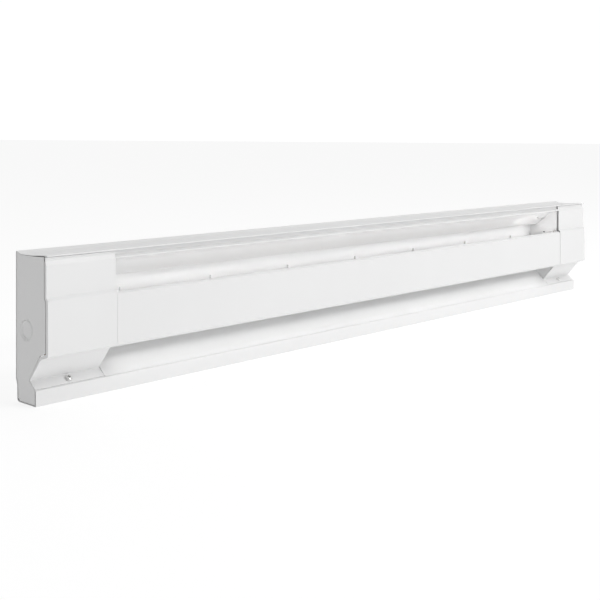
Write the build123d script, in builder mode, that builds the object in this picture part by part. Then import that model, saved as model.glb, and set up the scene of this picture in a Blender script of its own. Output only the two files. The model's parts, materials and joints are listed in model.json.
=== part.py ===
# Electric baseboard heater, 48 in long, sheet-steel cabinet with a finned tubular element.
# +X runs along the heater, the front faces -Y, the wall lies at +Y and +Z is up.
# The origin is the centre of the footprint at floor level.
from build123d import *
import os

os.makedirs("parts", exist_ok=True)

# Overall size
LENGTH = 1219.2
DEPTH = 65.7

# Sheet metal
SHEET = 0.8
PLATE = 0.9

# Wiring compartments at the two ends
BOX = 94.5
PARTITION_X = 94.7
SEAM = 0.35
RIGHT_SEAM = 1.0

# Element
ELEMENT_D = 33.0
ELEMENT_Z = 88.0
SHEATH_R = 4.0
SLEEVE_R = 4.6
FIN_DEPTH = 44.0
FIN_HEIGHT = 46.0
FIN_PITCH = 7.48
FIN_THICK = 0.5
ELEMENT_REACH = 1011.0

# Support brackets
BRACKETS = 8
BRACKET_PITCH = 143.6
BRACKET_THICK = 1.0

# Knockouts and fasteners
KNOCKOUT_R = 11.1
KNOCKOUT_D = 21.3
KNOCKOUT_Z = 84.0
WALL_HOLE_R = 2.6
WALL_HOLE_X = 574.6
WALL_HOLE_Z = (46.0, 150.0)

# Cover screw, on the sloping flange at the foot of each cover
SCREW_X = LENGTH / 2 - 47.5
SCREW_D = 34.6
SCREW_Z = 23.35
SHANK_R = 1.75
FLANGE_NORMAL = (0, -0.606, 0.7955)

# Pivot lines, as depth from the wall and height
COVER_PIVOT = (60.2, 168.7)
PANEL_PIVOT = (57.9, 117.4)
BEAD_R = 0.9


def at(d, z):
    """A section point at depth d from the wall and height z."""
    return (DEPTH / 2 - d, z)


def across(x):
    """The section plane at x, facing +X, with Y and Z as its own axes."""
    return Plane(origin=(x, 0, 0), x_dir=(0, 1, 0), z_dir=(1, 0, 0))


def from_left(x):
    """Distance from the left end as a position on the X axis."""
    return x - LENGTH / 2


def spot(x, d, z):
    """A point in space at x, depth d from the wall and height z."""
    return (x, DEPTH / 2 - d, z)


def bent_sheet(x0, x1, bends, radii, thick=SHEET, bead=None):
    """A roll-formed strip from x0 to x1 along the bend points, with a beaded edge if asked."""
    with BuildPart() as strip:
        with BuildSketch(across(x0)):
            with BuildLine():
                FilletPolyline(*[at(d, z) for d, z in bends], radius=radii)
            trace(line_width=thick)
            if bead:
                with Locations(at(*bead)):
                    Circle(BEAD_R)
        extrude(amount=x1 - x0)
    return strip


def wire_run(points, bend, radius):
    """A round wire or tube that follows the points with smooth bends."""
    with BuildPart() as run:
        with BuildLine() as path:
            FilletPolyline(*points, radius=bend)
        with BuildSketch(Plane(origin=path.line @ 0, z_dir=path.line % 0)):
            Circle(radius)
        sweep(path=path.line)
    return run


def mirrored(piece, label):
    """The same piece on the other end of the heater."""
    with BuildPart() as twin:
        add(piece.part)
        mirror(about=Plane.YZ, mode=Mode.REPLACE)
    finish(twin, label)
    return twin


def finish(piece, label):
    """Names a piece and writes it."""
    piece.part.label = label
    export_step(piece.part, "parts/" + label + ".step")


def knockout_slit():
    """Draws the slit around a knockout disc, broken by three holding webs."""
    Circle(KNOCKOUT_R + 0.35)
    Circle(KNOCKOUT_R, mode=Mode.SUBTRACT)
    with PolarLocations(KNOCKOUT_R, 3, start_angle=90):
        Rectangle(3, 2.4, mode=Mode.SUBTRACT)


# ---------------------------------------------------------------- back panel
# One roll-formed sheet: hemmed hood, wall side, joggle, floor, front lip and ledge.
back_bends = [
    (59.5, 170.3),
    (64.05, 170.58),
    (64.05, 171.55),
    (48.0, 170.75),
    (34.0, 169.7),
    (19.0, 169.3),
    (8.7, 169.9),
    (3.2, 172.0),
    (0.4, 172.4),
    (0.4, 26.5),
    (3.1, 19.5),
    (3.1, 0.4),
    (41.5, 0.4),
    (41.5, 17.9),
    (40.0, 17.7),
    (29.0, 26.09),
]
back_radii = [0.45, 0.45, 40, 40, 30, 6, 2.5, 0.9, 4, 4, 4.5, 0.8, 0.6, 0.7]
back_strip = bent_sheet(-LENGTH / 2, LENGTH / 2, back_bends, back_radii)
with BuildPart() as back_panel:
    add(back_strip.part)
    # Wall screw holes, two in each wiring compartment
    for hole_z in WALL_HOLE_Z:
        for hole_x in (-WALL_HOLE_X, WALL_HOLE_X):
            with Locations(Plane(origin=spot(hole_x, 0, hole_z), z_dir=(0, 1, 0))):
                Cylinder(WALL_HOLE_R, 8, mode=Mode.SUBTRACT)
    for side in (-1, 1):
        # Rear knockout
        rear = Plane(origin=spot(side * (LENGTH / 2 - 62), 5, 98), x_dir=(1, 0, 0), z_dir=(0, 1, 0))
        with BuildSketch(rear):
            knockout_slit()
        extrude(amount=8, mode=Mode.SUBTRACT)
        # Bottom knockout
        with BuildSketch(Plane.XY.offset(-1)):
            with Locations((side * (LENGTH / 2 - 62), DEPTH / 2 - 21.5)):
                knockout_slit()
        extrude(amount=4, mode=Mode.SUBTRACT)
        # Slot in the ledge for the cover screw, long enough to let its tip swing out
        slot = Plane(
            origin=spot(side * SCREW_X, SCREW_D, SCREW_Z),
            x_dir=(0, -0.7955, -0.606),
            z_dir=FLANGE_NORMAL,
        )
        with BuildSketch(slot):
            with Locations((1.55, 0)):
                SlotOverall(7.6, 2 * SHANK_R + 0.6)
        extrude(amount=3, both=True, mode=Mode.SUBTRACT)
        # Ground screw hole in the stood-off strip behind the raceway
        with Locations(Plane(origin=spot(side * (LENGTH / 2 - 28), 3, 11), z_dir=(0, 1, 0))):
            Cylinder(1.6, 6, mode=Mode.SUBTRACT)
finish(back_panel, "back_panel")

# -------------------------------------------------------------- air deflector
# Flange under the hood, recessed band, sloping top lip and sloping lower plane.
deflector_bends = [
    (46.0, 169.7),
    (57.6, 169.7),
    (57.6, 165.1),
    (62.2, 162.1),
    (61.6, 161.1),
    (53.5, 160.6),
    (42.0, 154.9),
    (15.6, 134.4),
    (13.6, 135.6),
]
deflector_radii = [1.0, 1.0, 0.42, 0.42, 3.0, 12.0, 0.9]
deflector_strip = bent_sheet(
    from_left(95.0), -from_left(95.0), deflector_bends, deflector_radii, thick=0.7
)
DEFLECTOR_NORMAL = (0, -0.6134, -0.7898)
with BuildPart() as air_deflector:
    add(deflector_strip.part)
    for side in (-1, 1):
        face = Plane(
            origin=spot(side * (LENGTH / 2 - 102.3), 30.5, 145.97),
            x_dir=(1, 0, 0),
            z_dir=DEFLECTOR_NORMAL,
        )
        with Locations(face):
            Cylinder(1.65, 6, mode=Mode.SUBTRACT)
    # Spare hole near the right end
    spare = Plane(
        origin=spot(LENGTH / 2 - 123.8, 34.5, 149.1),
        x_dir=(1, 0, 0),
        z_dir=DEFLECTOR_NORMAL,
    )
    with Locations(spare):
        Cylinder(2.8, 6, mode=Mode.SUBTRACT)
finish(air_deflector, "air_deflector")

# -------------------------------------------------------------- raceway cover
# Curved plate that guides the cool air and closes the wiring raceway.
raceway_bends = [
    (40.3, 18.6),
    (34.2, 23.25),
    (30.5, 27.0),
    (18.0, 39.6),
    (8.5, 51.5),
    (1.25, 63.5),
    (1.25, 72.0),
]
raceway_cover = bent_sheet(
    from_left(95.2), -from_left(95.2), raceway_bends, [6, 10, 25, 25, 4], thick=0.7
)
finish(raceway_cover, "raceway_cover")

# ----------------------------------------------------------------- end panels
end_outline = [
    (1.2, 171.0),
    (3.2, 170.9),
    (8.7, 169.0),
    (19.0, 168.4),
    (34.0, 168.8),
    (56.6, 169.7),
    (57.2, 165.5),
    (57.2, 123.4),
    (59.8, 120.0),
    (59.8, 63.0),
    (59.0, 62.2),
    (48.6, 58.0),
    (27.2, 29.2),
    (27.4, 26.2),
    (38.2, 17.9),
    (38.8, 17.0),
    (38.8, 1.3),
    (8.0, 1.3),
    (4.4, 4.6),
    (4.0, 19.6),
    (1.2, 26.8),
]
with BuildPart() as left_end_panel:
    with BuildSketch(across(-LENGTH / 2 + 0.5)):
        with BuildLine():
            Polyline(*[at(d, z) for d, z in end_outline], close=True)
        make_face()
    extrude(amount=PLATE)
    # Stamped ring around the knockout
    with BuildSketch(across(-LENGTH / 2 + 0.5)):
        with Locations(at(KNOCKOUT_D, KNOCKOUT_Z)):
            Circle(13.0)
            Circle(12.6, mode=Mode.SUBTRACT)
    extrude(amount=0.2, mode=Mode.SUBTRACT)
    # Shallow dish pressed into the disc
    with BuildSketch(across(-LENGTH / 2 + 0.5)):
        with Locations(at(KNOCKOUT_D, KNOCKOUT_Z)):
            Circle(9.2)
    extrude(amount=0.35, taper=40, mode=Mode.SUBTRACT)
    with BuildSketch(across(-LENGTH / 2)):
        with Locations(at(KNOCKOUT_D, KNOCKOUT_Z)):
            knockout_slit()
    extrude(amount=3, mode=Mode.SUBTRACT)
    # Flanges turned inwards along the wall, the floor and the front
    with BuildSketch(Plane.YZ.offset(-LENGTH / 2 + 0.5)):
        with Locations(at(1.65, 100)):
            Rectangle(PLATE, 110)
        with Locations(at(24.0, 1.75)):
            Rectangle(28, PLATE)
        with Locations(at(56.75, 144)):
            Rectangle(PLATE, 38)
        with Locations(at(59.35, 91.5)):
            Rectangle(PLATE, 54)
    extrude(amount=9)
finish(left_end_panel, "left_end_panel")
right_end_panel = mirrored(left_end_panel, "right_end_panel")

# ----------------------------------------------------------------- partitions
# Inner wall of each wiring compartment.
partition_outline = [
    (1.0, 168.2),
    (34.0, 168.5),
    (54.5, 168.6),
    (58.2, 165.0),
    (58.2, 58.4),
    (51.0, 55.8),
    (50.5, 55.35),
    (27.9, 28.8),
    (17.6, 39.2),
    (8.0, 51.2),
    (1.0, 62.9),
]
with BuildPart() as left_partition:
    with BuildSketch(across(from_left(PARTITION_X - PLATE))):
        with BuildLine():
            Polyline(*[at(d, z) for d, z in partition_outline], close=True)
        make_face()
        # Hole for the element's cold end and its bush
        with Locations(at(ELEMENT_D, ELEMENT_Z)):
            Circle(7.0, mode=Mode.SUBTRACT)
        # Hole for the limit capillary
        with Locations(at(ELEMENT_D, 112.9)):
            Circle(2.0, mode=Mode.SUBTRACT)
        # Screw holes for the limit switch
        with Locations(at(31, 119.5), at(51, 119.5)):
            Circle(1.6, mode=Mode.SUBTRACT)
    extrude(amount=PLATE)
    # Wall flange and front flange, turned into the wiring compartment
    with BuildSketch(across(from_left(PARTITION_X - 10))):
        with Locations(at(1.45, 112)):
            Rectangle(PLATE, 70)
        with Locations(at(57.75, 112)):
            Rectangle(PLATE, 100)
    extrude(amount=10)
    # Sloping tab that the deflector is screwed to
    tab = Plane(
        origin=spot(from_left(PARTITION_X - PLATE), 30.03, 146.58),
        x_dir=(0, -0.7898, 0.6134),
        z_dir=(1, 0, 0),
    )
    with BuildSketch(tab):
        Rectangle(12, 0.8)
    extrude(amount=13)
    hole = Plane(
        origin=spot(-LENGTH / 2 + 102.3, 30.5, 145.97),
        x_dir=(1, 0, 0),
        z_dir=DEFLECTOR_NORMAL,
    )
    with Locations(hole):
        Cylinder(1.45, 8, mode=Mode.SUBTRACT)
finish(left_partition, "left_partition")
right_partition = mirrored(left_partition, "right_partition")

# ------------------------------------------------------------------- covers
# Wiring compartment covers: tongue behind the hood's hem, stepped face, sloping foot.
cover_bends = [
    COVER_PIVOT,
    (60.2, 165.6),
    (62.1, 160.4),
    (62.1, 124.8),
    (65.3, 121.3),
    (65.3, 60.1),
    (63.3, 58.7),
    (51.2, 54.9),
    (28.46, 27.9),
    (39.76, 19.28),
]
cover_radii = [1.5, 2.5, 1.0, 1.0, 1.2, 0.9, 2.0, 1.0]
cover_strip = bent_sheet(
    -LENGTH / 2 + 0.1, from_left(BOX), cover_bends, cover_radii, bead=COVER_PIVOT
)
# Edge turned in at the outer end, from the foot to the top bend
return_outline = [
    (60.3, 165.0),
    (61.9, 160.4),
    (61.9, 124.7),
    (65.1, 121.2),
    (65.1, 60.2),
    (63.2, 58.8),
    (51.0, 55.0),
    (28.9, 28.4),
    (28.2, 29.3),
    (49.2, 57.4),
    (60.4, 61.6),
    (61.6, 62.6),
    (61.6, 120.2),
    (59.0, 123.4),
    (59.0, 160.0),
    (58.8, 164.6),
]
with BuildPart() as left_cover:
    add(cover_strip.part)
    with BuildSketch(across(-LENGTH / 2 + 0.1)):
        with BuildLine():
            Polyline(*[at(d, z) for d, z in return_outline], close=True)
        make_face()
    extrude(amount=SHEET)
    flange = Plane(
        origin=spot(-SCREW_X, SCREW_D, SCREW_Z),
        x_dir=(1, 0, 0),
        z_dir=FLANGE_NORMAL,
    )
    with Locations(flange):
        Cylinder(SHANK_R + 0.3, 5, mode=Mode.SUBTRACT)
finish(left_cover, "left_cover")
right_cover = mirrored(left_cover, "right_cover")

# Cover screw: pan head with a cross recess, shank through the flange and the ledge
with BuildPart() as left_cover_screw:
    with BuildSketch(Plane.XZ):
        with BuildLine():
            Polyline((0, -2.3), (1.2, -2.3), (SHANK_R, -1.75), (SHANK_R, 0.75), (4.3, 0.75))
            Line((4.3, 0.75), (4.3, 1.5))
            ThreePointArc((4.3, 1.5), (3.0, 2.75), (0, 3.2))
            Line((0, 3.2), (0, -2.3))
        make_face()
    revolve(axis=Axis.Z)
    with BuildSketch(Plane.XY.offset(3.4)):
        Rectangle(4.6, 0.95)
        Rectangle(0.95, 4.6)
    extrude(amount=-1.7, taper=8, mode=Mode.SUBTRACT)
SCREW_SEAT = Plane(
    origin=spot(-SCREW_X, SCREW_D, SCREW_Z),
    x_dir=(1, 0, 0),
    z_dir=FLANGE_NORMAL,
)
with BuildPart() as left_screw_placed:
    with Locations(SCREW_SEAT):
        add(left_cover_screw.part)
finish(left_screw_placed, "left_cover_screw")
right_cover_screw = mirrored(left_screw_placed, "right_cover_screw")

# --------------------------------------------------------------- front panel
panel_bends = [
    PANEL_PIVOT,
    (57.9, 120.6),
    (62.0, 121.75),
    (65.3, 119.3),
    (65.3, 60.1),
    (63.3, 58.7),
    (51.2, 54.9),
]
panel_radii = [0.9, 0.9, 0.9, 1.2, 0.9]
front_panel = bent_sheet(
    from_left(BOX + SEAM),
    -from_left(BOX + RIGHT_SEAM),
    panel_bends,
    panel_radii,
    bead=PANEL_PIVOT,
)
finish(front_panel, "front_panel")

# ---------------------------------------------------------- support brackets
# Each carries the element through a bush and holds the front panel on its top hook.
bracket_outline = [
    (1.3, 111.0),
    (30.4, 114.4),
    (51.0, 117.0),
    (52.2, 125.0),
    (55.5, 125.0),
    (55.5, 115.8),
    (60.0, 115.8),
    (60.0, 120.0),
    (62.2, 120.0),
    (63.6, 117.6),
    (63.6, 66.0),
    (60.0, 61.0),
    (50.0, 59.6),
    (20.0, 56.0),
    (1.3, 74.0),
]


def support_bracket(x):
    """A bracket plate at x with its wall flange and element hole."""
    with BuildPart() as bracket:
        with BuildSketch(across(x - BRACKET_THICK / 2)):
            with BuildLine():
                Polyline(*[at(d, z) for d, z in bracket_outline], close=True)
            make_face()
            with Locations(at(ELEMENT_D, ELEMENT_Z)):
                Circle(7.0, mode=Mode.SUBTRACT)
            # Open notch for the limit capillary
            with Locations(at(ELEMENT_D, 113.9)):
                Rectangle(3.0, 5.0, mode=Mode.SUBTRACT)
            # Lightening slot
            with Locations(at(ELEMENT_D + 19, ELEMENT_Z)):
                SlotOverall(26, 8, rotation=90, mode=Mode.SUBTRACT)
        extrude(amount=BRACKET_THICK)
        with BuildSketch(across(x - BRACKET_THICK / 2)):
            with Locations(at(1.35, 93)):
                Rectangle(1.0, 34)
        extrude(amount=12)
    return bracket


bracket_xs = [BRACKET_PITCH * (i - (BRACKETS - 1) / 2) for i in range(BRACKETS)]
for number, bracket_x in enumerate(bracket_xs, start=1):
    finish(support_bracket(bracket_x), "support_bracket_" + str(number))


# Bushes that hold the element in the brackets and partitions
def element_bush(x):
    """A grooved ceramic bush centred on a plate at x."""
    with BuildSketch(Plane(origin=spot(x, ELEMENT_D, ELEMENT_Z), x_dir=(1, 0, 0), z_dir=(0, -1, 0))) as s:
        with BuildLine():
            Polyline(
                (-2.5, SLEEVE_R + 0.05),
                (2.5, SLEEVE_R + 0.05),
                (2.5, 9.0),
                (0.6, 9.0),
                (0.6, 6.9),
                (-0.6, 6.9),
                (-0.6, 9.0),
                (-2.5, 9.0),
                close=True,
            )
        make_face()
    return s.sketch


ELEMENT_AXIS = Axis(spot(0, ELEMENT_D, ELEMENT_Z), (1, 0, 0))
with BuildPart() as bracket_bushes:
    for bracket_x in bracket_xs:
        with BuildPart(mode=Mode.PRIVATE) as bush:
            add(element_bush(bracket_x))
            revolve(axis=ELEMENT_AXIS)
        add(bush.part)
finish(bracket_bushes, "bracket_bushes")

with BuildPart() as partition_bushes:
    for side in (-1, 1):
        with BuildPart(mode=Mode.PRIVATE) as bush:
            add(element_bush(side * (LENGTH / 2 - PARTITION_X + PLATE / 2)))
            revolve(axis=ELEMENT_AXIS)
        add(bush.part)
finish(partition_bushes, "partition_bushes")

# ------------------------------------------------------------------- element
SHEATH_HALF = LENGTH / 2 - 88.0
with BuildPart() as element_sheath:
    with Locations(Pos(spot(0, ELEMENT_D, ELEMENT_Z)) * Rot(0, 90, 0)):
        Cylinder(SHEATH_R, 2 * SHEATH_HALF)
        Cylinder(SHEATH_R - 0.7, 2 * SHEATH_HALF, mode=Mode.SUBTRACT)
finish(element_sheath, "element_sheath")

with BuildPart() as element_core:
    with Locations(Pos(spot(0, ELEMENT_D, ELEMENT_Z)) * Rot(0, 90, 0)):
        Cylinder(SHEATH_R - 0.75, 2 * (SHEATH_HALF - 28))
finish(element_core, "element_core")

with BuildPart() as terminal_pins:
    for side in (-1, 1):
        with Locations(Pos(spot(side * (SHEATH_HALF - 6), ELEMENT_D, ELEMENT_Z)) * Rot(0, 90, 0)):
            Cylinder(1.6, 40)
finish(terminal_pins, "terminal_pins")

with BuildPart() as terminal_seals:
    for side in (-1, 1):
        with Locations(Pos(spot(side * (SHEATH_HALF - 4), ELEMENT_D, ELEMENT_Z)) * Rot(0, 90, 0)):
            Cylinder(SHEATH_R - 0.75, 8)
            Cylinder(1.65, 8, mode=Mode.SUBTRACT)
finish(terminal_seals, "terminal_seals")

# Fins pressed on a thin sleeve, left out around each bracket
fin_start = -FIN_PITCH * 63.5
with BuildPart() as fin_pack:
    with Locations(Pos(spot(0, ELEMENT_D, ELEMENT_Z)) * Rot(0, 90, 0)):
        Cylinder(SLEEVE_R, ELEMENT_REACH)
    fin_xs = [
        fin_start + FIN_PITCH * i
        for i in range(128)
        if min(abs(fin_start + FIN_PITCH * i - b) for b in bracket_xs) > 4.5
    ]
    with Locations([spot(x, ELEMENT_D, ELEMENT_Z) for x in fin_xs]):
        Box(FIN_THICK, FIN_DEPTH, FIN_HEIGHT)
    with Locations(Pos(spot(0, ELEMENT_D, ELEMENT_Z)) * Rot(0, 90, 0)):
        Cylinder(SHEATH_R + 0.05, ELEMENT_REACH + 20, mode=Mode.SUBTRACT)
finish(fin_pack, "fin_pack")

# ---------------------------------------------------------------- high limit
LIMIT_X = LENGTH / 2 - PARTITION_X + PLATE
with BuildPart() as limit_switch:
    with Locations(spot(LIMIT_X + 12.1, 41, 119.5)):
        Box(22, 26, 22)
    fillet(limit_switch.edges().filter_by(Axis.X), 1.5)
    with Locations(spot(LIMIT_X + 1.0, 41, 119.5)):
        Box(1.4, 30, 10)
    for d in (31, 51):
        with Locations(Pos(spot(LIMIT_X + 1, d, 119.5)) * Rot(0, 90, 0)):
            Cylinder(1.2, 5)
finish(limit_switch, "limit_switch")

with BuildPart() as limit_terminals:
    for d in (36, 46):
        with Locations(spot(LIMIT_X + 27.2, d, 119.5)):
            Box(8, 0.8, 6.3)
finish(limit_terminals, "limit_terminals")

CAPILLARY_END = LIMIT_X + 1.0
with BuildPart() as limit_capillary:
    with Locations(Pos(spot((CAPILLARY_END - 470) / 2, ELEMENT_D, 112.9)) * Rot(0, 90, 0)):
        Cylinder(1.1, CAPILLARY_END + 470)
finish(limit_capillary, "limit_capillary")

# -------------------------------------------------------------------- wiring
WIRE_R = 1.3
WIRE_BEND = 5.0
PIN_TIP = SHEATH_HALF + 14
NUT_Z = 50
wire_paths = {
    "through_wire_black": [
        spot(-574, 12, 60),
        spot(-574, 12, 8),
        spot(558, 12, 8),
        spot(558, 12, 28),
        spot(558, 20, 40),
        spot(558, 20, 60),
    ],
    "through_wire_red": [
        spot(-558, 20, 60),
        spot(-558, 20, 8),
        spot(574, 20, 8),
        spot(574, 20, 60),
    ],
    "element_lead": [
        spot(-PIN_TIP - 0.3, ELEMENT_D, ELEMENT_Z),
        spot(-546, ELEMENT_D, ELEMENT_Z),
        spot(-546, ELEMENT_D, 34),
        spot(-554, 24, 34),
        spot(-554, 24, 60),
    ],
    "limit_lead": [
        spot(PIN_TIP + 0.3, ELEMENT_D, ELEMENT_Z),
        spot(562, ELEMENT_D, ELEMENT_Z),
        spot(562, 36, 119.5),
        spot(LIMIT_X + 31.5, 36, 119.5),
    ],
    "return_lead": [
        spot(LIMIT_X + 31.5, 46, 119.5),
        spot(570, 46, 119.5),
        spot(570, 46, 86),
        spot(564, 26, 38),
        spot(554, 24, 34),
        spot(554, 24, 60),
    ],
}
for wire_name, wire_points in wire_paths.items():
    finish(wire_run(wire_points, WIRE_BEND, WIRE_R), wire_name)

# Twist-on connectors: ribbed caps over the joined or waiting wire ends
with BuildPart() as wire_nuts:
    nut_spots = [(-556, 22), (-574, 12), (556, 22), (574, 20)]
    with Locations([spot(x, d, NUT_Z + 11) for x, d in nut_spots]):
        Cone(6.4, 4.6, 22)
        Cylinder(4.2, 22, mode=Mode.SUBTRACT)
    with Locations([spot(x, d, NUT_Z + 20.5) for x, d in nut_spots]):
        Cylinder(4.5, 5)
finish(wire_nuts, "wire_nuts")

# Crimped barrels on the element pins and on the limit switch blades
with BuildPart() as lead_crimps:
    for end in (-1, 1):
        with Locations(Pos(spot(end * (PIN_TIP - 0.5), ELEMENT_D, ELEMENT_Z)) * Rot(0, 90, 0)):
            Cylinder(2.5, 9)
            Cylinder(1.65, 9, mode=Mode.SUBTRACT)
    for d in (36, 46):
        with Locations(Pos(spot(LIMIT_X + 35.0, d, 119.5)) * Rot(0, 90, 0)):
            Cylinder(2.3, 7)
            Cylinder(1.35, 7, mode=Mode.SUBTRACT)
finish(lead_crimps, "lead_crimps")

# Ground screws and their short leads
with BuildPart() as ground_screws:
    for side in (-1, 1):
        seat = Plane(origin=spot(side * (LENGTH / 2 - 28), 3.5, 11), z_dir=(0, -1, 0))
        with Locations(seat):
            with Locations((0, 0, 1.1)):
                Cylinder(3.6, 2.2)
            with Locations((0, 0, -0.9)):
                Cylinder(1.5, 2.2)
        with BuildSketch(seat.offset(2.2)):
            Rectangle(5.4, 0.9)
        extrude(amount=-1.0, mode=Mode.SUBTRACT)
finish(ground_screws, "ground_screws")

with BuildPart() as ground_leads:
    for side in (-1, 1):
        with BuildPart(mode=Mode.PRIVATE) as lead:
            with BuildLine() as lead_path:
                FilletPolyline(
                    spot(side * 585.5, 5.4, 11),
                    spot(side * 594, 5.4, 11),
                    spot(side * 594, 12, 64),
                    radius=4,
                )
            with BuildSketch(Plane(origin=lead_path.line @ 0, z_dir=lead_path.line % 0)):
                Circle(WIRE_R)
            sweep(path=lead_path.line)
        add(lead.part)
finish(ground_leads, "ground_leads")

# Screws that hold the deflector to the partition tabs
with BuildPart() as deflector_screws:
    for side in (-1, 1):
        seat = Plane(
            origin=spot(side * (LENGTH / 2 - 102.3), 30.5 + 0.215, 145.97 - 0.277),
            x_dir=(1, 0, 0),
            z_dir=DEFLECTOR_NORMAL,
        )
        with Locations(seat):
            with Locations((0, 0, 0.9)):
                Cylinder(3.0, 1.8)
            with Locations((0, 0, -1.6)):
                Cylinder(1.4, 3.2)
        with BuildSketch(seat.offset(1.8)):
            Rectangle(3.4, 0.8)
            Rectangle(0.8, 3.4)
        extrude(amount=-1.0, mode=Mode.SUBTRACT)
finish(deflector_screws, "deflector_screws")
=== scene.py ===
import json
import math

import bpy
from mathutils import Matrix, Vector

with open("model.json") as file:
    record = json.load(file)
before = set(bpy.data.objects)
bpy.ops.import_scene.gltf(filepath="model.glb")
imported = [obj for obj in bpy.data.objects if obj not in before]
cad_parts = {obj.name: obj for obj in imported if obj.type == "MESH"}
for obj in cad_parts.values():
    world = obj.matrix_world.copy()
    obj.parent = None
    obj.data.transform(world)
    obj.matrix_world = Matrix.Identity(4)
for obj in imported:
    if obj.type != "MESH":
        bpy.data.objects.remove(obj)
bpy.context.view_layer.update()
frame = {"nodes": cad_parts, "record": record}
nodes = frame["nodes"]

# ------------------------------------------------------------------ camera
# Its place, turn and lens are a fit to the photograph: it stands level, and the lens
# is shifted to frame the heater as the photograph does.
camera_data = bpy.data.cameras.new("camera")
camera_data.sensor_width = 36.0
camera_data.lens = 61.98
camera_data.shift_y = -0.276
camera_data.clip_start = 0.01
camera = bpy.data.objects.new("camera", camera_data)
camera.location = (-1.2481, -1.0191, 0.3062)
camera.rotation_euler = (math.radians(90.0), 0.0, math.radians(-46.635))
bpy.context.scene.collection.objects.link(camera)
bpy.context.scene.camera = camera
bpy.context.scene.view_settings.view_transform = "Standard"


# --------------------------------------------------------------- materials
# Noise scales of the powder coat, in cells per metre
TONE_DRIFT = 9.0
GLOSS_SPECK = 420.0
ORANGE_PEEL = 900.0


def material(name):
    """A new node material, with its tree and its shader."""
    mat = bpy.data.materials.new(name)
    mat.use_nodes = True
    tree = mat.node_tree
    shader = tree.nodes["Principled BSDF"]
    return mat, tree, shader


def noise(tree, scale, detail=3.0, roughness=0.5):
    """Noise that follows the object's own metres."""
    place = tree.nodes.new("ShaderNodeTexCoord")
    texture = tree.nodes.new("ShaderNodeTexNoise")
    texture.inputs["Scale"].default_value = scale
    texture.inputs["Detail"].default_value = detail
    texture.inputs["Roughness"].default_value = roughness
    tree.links.new(place.outputs["Object"], texture.inputs["Vector"])
    return texture


def ramp(tree, source, low, high, start=0.35, end=0.65):
    """A two-colour ramp driven by a texture."""
    node = tree.nodes.new("ShaderNodeValToRGB")
    node.color_ramp.elements[0].position = start
    node.color_ramp.elements[0].color = low
    node.color_ramp.elements[1].position = end
    node.color_ramp.elements[1].color = high
    tree.links.new(source, node.inputs["Fac"])
    return node


def grey(value):
    """An opaque grey."""
    return (value, value, value, 1.0)


def shade(colour, factor):
    """An opaque colour, darkened by factor."""
    return tuple(c * factor for c in colour) + (1.0,)


def bump(tree, shader, source, strength, distance):
    """Lets a texture's height bend the shader's normal."""
    node = tree.nodes.new("ShaderNodeBump")
    node.inputs["Strength"].default_value = strength
    node.inputs["Distance"].default_value = distance
    tree.links.new(source, node.inputs["Height"])
    tree.links.new(node.outputs["Normal"], shader.inputs["Normal"])


def powder_coat(name, tone, rough=0.42):
    """Baked white powder coat with fine orange peel and slight tone drift."""
    mat, tree, shader = material(name)
    drift = noise(tree, TONE_DRIFT, 2.0)
    tint = ramp(tree, drift.outputs["Fac"], grey(tone * 0.985), grey(tone))
    tree.links.new(tint.outputs["Color"], shader.inputs["Base Color"])
    speck = noise(tree, GLOSS_SPECK, 2.0)
    gloss = ramp(tree, speck.outputs["Fac"], grey(rough - 0.05), grey(rough + 0.06))
    tree.links.new(gloss.outputs["Color"], shader.inputs["Roughness"])
    peel = noise(tree, ORANGE_PEEL, 2.0, 0.6)
    bump(tree, shader, peel.outputs["Fac"], 0.12, 0.0002)
    shader.inputs["Specular IOR Level"].default_value = 0.45
    return mat


def metal(name, colour, rough, grain=300.0):
    """Bare or plated metal with fine grain in its roughness."""
    mat, tree, shader = material(name)
    grain_texture = noise(tree, grain, 4.0)
    tint = ramp(
        tree, grain_texture.outputs["Fac"], shade(colour, 0.9), shade(colour, 1.0)
    )
    tree.links.new(tint.outputs["Color"], shader.inputs["Base Color"])
    gloss = ramp(
        tree, grain_texture.outputs["Fac"], grey(rough * 0.8), grey(rough * 1.25)
    )
    tree.links.new(gloss.outputs["Color"], shader.inputs["Roughness"])
    shader.inputs["Metallic"].default_value = 1.0
    bump(tree, shader, grain_texture.outputs["Fac"], 0.08, 0.0001)
    return mat


def plastic(name, colour, rough, grain=700.0):
    """Moulded or extruded plastic, rubber or ceramic with a faint texture."""
    mat, tree, shader = material(name)
    fine = noise(tree, grain, 2.0)
    tint = ramp(tree, fine.outputs["Fac"], shade(colour, 0.86), shade(colour, 1.0))
    tree.links.new(tint.outputs["Color"], shader.inputs["Base Color"])
    smooth, dull = grey(rough * 0.85), grey(min(1.0, rough * 1.2))
    gloss = ramp(tree, fine.outputs["Fac"], smooth, dull)
    tree.links.new(gloss.outputs["Color"], shader.inputs["Roughness"])
    bump(tree, shader, fine.outputs["Fac"], 0.15, 0.0001)
    return mat


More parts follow.
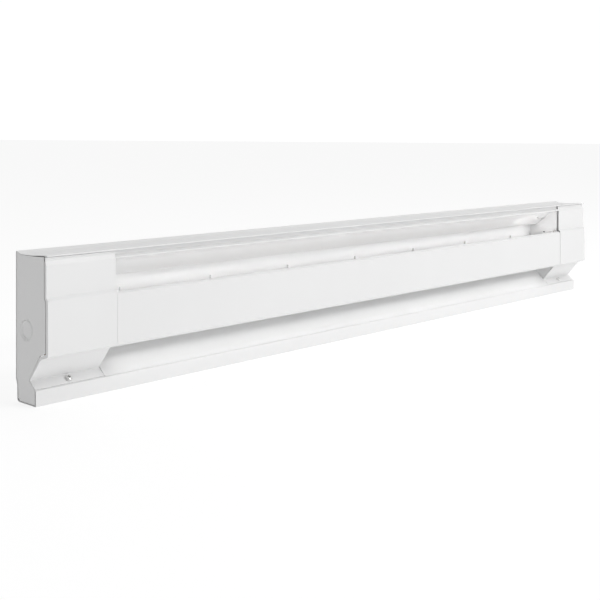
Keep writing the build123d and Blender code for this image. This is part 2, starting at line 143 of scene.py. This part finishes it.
looks = {
    "powder_coat": powder_coat("powder_coat", 0.80),
    "white_screw": metal("white_screw", (0.80, 0.80, 0.79), 0.33, grain=500.0),
    "bush": plastic("bush", (0.86, 0.84, 0.77), 0.6, grain=350.0),
    "sheath": metal("sheath", (0.50, 0.46, 0.42), 0.38),
    "ceramic_powder": plastic("ceramic_powder", (0.9, 0.89, 0.86), 0.9, grain=1200.0),
    "plated_steel": metal("plated_steel", (0.74, 0.74, 0.72), 0.28),
    "seal": plastic("seal", (0.62, 0.12, 0.06), 0.45),
    "aluminium_fin": metal("aluminium_fin", (0.86, 0.87, 0.88), 0.3, grain=200.0),
    "black_plastic": plastic("black_plastic", (0.035, 0.035, 0.037), 0.45),
    "capillary": metal("capillary", (0.74, 0.42, 0.28), 0.3),
    "wire_black": plastic("wire_black", (0.025, 0.025, 0.026), 0.4),
    "wire_red": plastic("wire_red", (0.48, 0.03, 0.025), 0.4),
    "wire_green": plastic("wire_green", (0.03, 0.26, 0.07), 0.4),
    "nut_plastic": plastic("nut_plastic", (0.85, 0.55, 0.05), 0.3),
    "green_screw": metal("green_screw", (0.05, 0.36, 0.14), 0.35),
}
node_slot = {s["node"]: s["material_slot"] for s in frame["record"]["subparts"]}
for name, obj in nodes.items():
    look = looks[node_slot[name]]
    if not obj.material_slots:
        obj.data.materials.append(look)
    for entry in obj.material_slots:
        entry.material = look

# ------------------------------------------------------------------- stage
FLOOR_GAP = 0.0005  # so that the floor and the underside are not in one plane
FLOOR_GLOW = 0.80  # the same all over, so the floor is plain from every side
DIM = 0.05  # the world's brightness where no soft light comes from

floor_mesh = bpy.data.meshes.new("floor")
floor_corners = [(-30, -30, 0), (30, -30, 0), (30, 60, 0), (-30, 60, 0)]
floor_mesh.from_pydata(floor_corners, [], [(0, 1, 2, 3)])
floor = bpy.data.objects.new("floor", floor_mesh)
floor.location.z = -FLOOR_GAP
bpy.context.scene.collection.objects.link(floor)
floor_mat, tree, shader = material("floor")
shader.inputs["Base Color"].default_value = grey(0.25)
shader.inputs["Roughness"].default_value = 0.9
shader.inputs["Specular IOR Level"].default_value = 0.0
shader.inputs["Emission Color"].default_value = grey(1.0)
shader.inputs["Emission Strength"].default_value = FLOOR_GLOW
floor_mesh.materials.append(floor_mat)

ABOVE_RIGHT = (0.35, 0.0, 0.94)

# World: white towards +X +Y, soft light from above right, and a narrow white
# horizon all round, like a studio sweep, so that every view has a plain backdrop
world = bpy.data.worlds.new("world")
world.use_nodes = True
bpy.context.scene.world = world
tree = world.node_tree
background = tree.nodes["Background"]
place = tree.nodes.new("ShaderNodeTexCoord")
split = tree.nodes.new("ShaderNodeSeparateXYZ")
tree.links.new(place.outputs["Generated"], split.inputs["Vector"])
ahead = tree.nodes.new("ShaderNodeMath")
ahead.operation = "MINIMUM"
tree.links.new(split.outputs["X"], ahead.inputs[0])
tree.links.new(split.outputs["Y"], ahead.inputs[1])
lean = tree.nodes.new("ShaderNodeVectorMath")
lean.operation = "DOT_PRODUCT"
lean.inputs[1].default_value = ABOVE_RIGHT
tree.links.new(place.outputs["Generated"], lean.inputs[0])


def fade(source, start, end, low, high, curve="LINEAR"):
    """World brightness that goes from low at start to high at end."""
    node = tree.nodes.new("ShaderNodeMapRange")
    node.interpolation_type = curve
    node.inputs["From Min"].default_value = start
    node.inputs["From Max"].default_value = end
    node.inputs["To Min"].default_value = low
    node.inputs["To Max"].default_value = high
    tree.links.new(source, node.inputs["Value"])
    return node.outputs["Result"]


def brightest(first, second):
    """The brighter of two world brightnesses."""
    node = tree.nodes.new("ShaderNodeMath")
    node.operation = "MAXIMUM"
    tree.links.new(first, node.inputs[0])
    tree.links.new(second, node.inputs[1])
    return node.outputs["Value"]


glow = fade(ahead.outputs["Value"], -0.1, 0.35, DIM, 1.02)
overhead = fade(lean.outputs["Value"], 0.35, 0.9, DIM, 0.88)
horizon = fade(split.outputs["Z"], 0.05, 0.12, 1.0, DIM, "SMOOTHSTEP")
world_light = brightest(brightest(glow, overhead), horizon)
tree.links.new(world_light, background.inputs["Color"])
background.inputs["Strength"].default_value = 1.0


def softbox(name, place, target, size, power, spread=180.0):
    """A rectangular soft light at place, turned to target. Spread is in degrees."""
    data = bpy.data.lights.new(name, "AREA")
    data.shape = "RECTANGLE"
    data.size, data.size_y = size
    data.energy = power
    data.spread = math.radians(spread)
    lamp = bpy.data.objects.new(name, data)
    lamp.location = place
    aim = Vector(target) - Vector(place)
    lamp.rotation_euler = aim.to_track_quat("-Z", "Y").to_euler()
    bpy.context.scene.collection.objects.link(lamp)


# Three soft boxes stand in front of the heater.
softbox("key", place=(1.1, -2.9, 1.65), target=(0.25, 0.0, 0.1), size=(2.0, 0.5), power=31.0)
softbox("high_front", place=(0.9, -2.0, 2.5), target=(0.2, 0.0, 0.1), size=(1.8, 0.6), power=21.0)
softbox("low_front", place=(0.6, -4.0, 0.7), target=(0.1, 0.0, 0.1), size=(3.0, 0.4), power=8.5)

# Five small area lights stand inside it and make up for the strong frontal light of
# the photograph: four in the warm-air outlet and one in the cool-air inlet.
OUTLET_STRIP = (1.02, 0.006)
OUTLET_END_PATCH = (0.02, 0.02)
INLET_STRIP = (1.0, 0.006)
softbox(
    "outlet_low",
    place=(0.0, -0.0150, 0.119),
    target=(0.0, 0.032, 0.120),
    size=OUTLET_STRIP,
    power=0.055,
    spread=90.0,
)
softbox(
    "outlet_high",
    place=(0.0, -0.0150, 0.121),
    target=(0.0, 0.005, 0.155),
    size=OUTLET_STRIP,
    power=0.07,
)
softbox(
    "outlet_front",
    place=(0.0, -0.0240, 0.124),
    target=(0.0, 0.01, 0.150),
    size=OUTLET_STRIP,
    power=0.022,
)
softbox(
    "outlet_end",
    place=(0.41, -0.004, 0.136),
    target=(0.6, 0.006, 0.132),
    size=OUTLET_END_PATCH,
    power=0.005,
    spread=80.0,
)
softbox(
    "inlet_strip",
    place=(0.0, -0.0165, 0.052),
    target=(0.0, -0.002, 0.026),
    size=INLET_STRIP,
    power=0.07,
    spread=150.0,
)
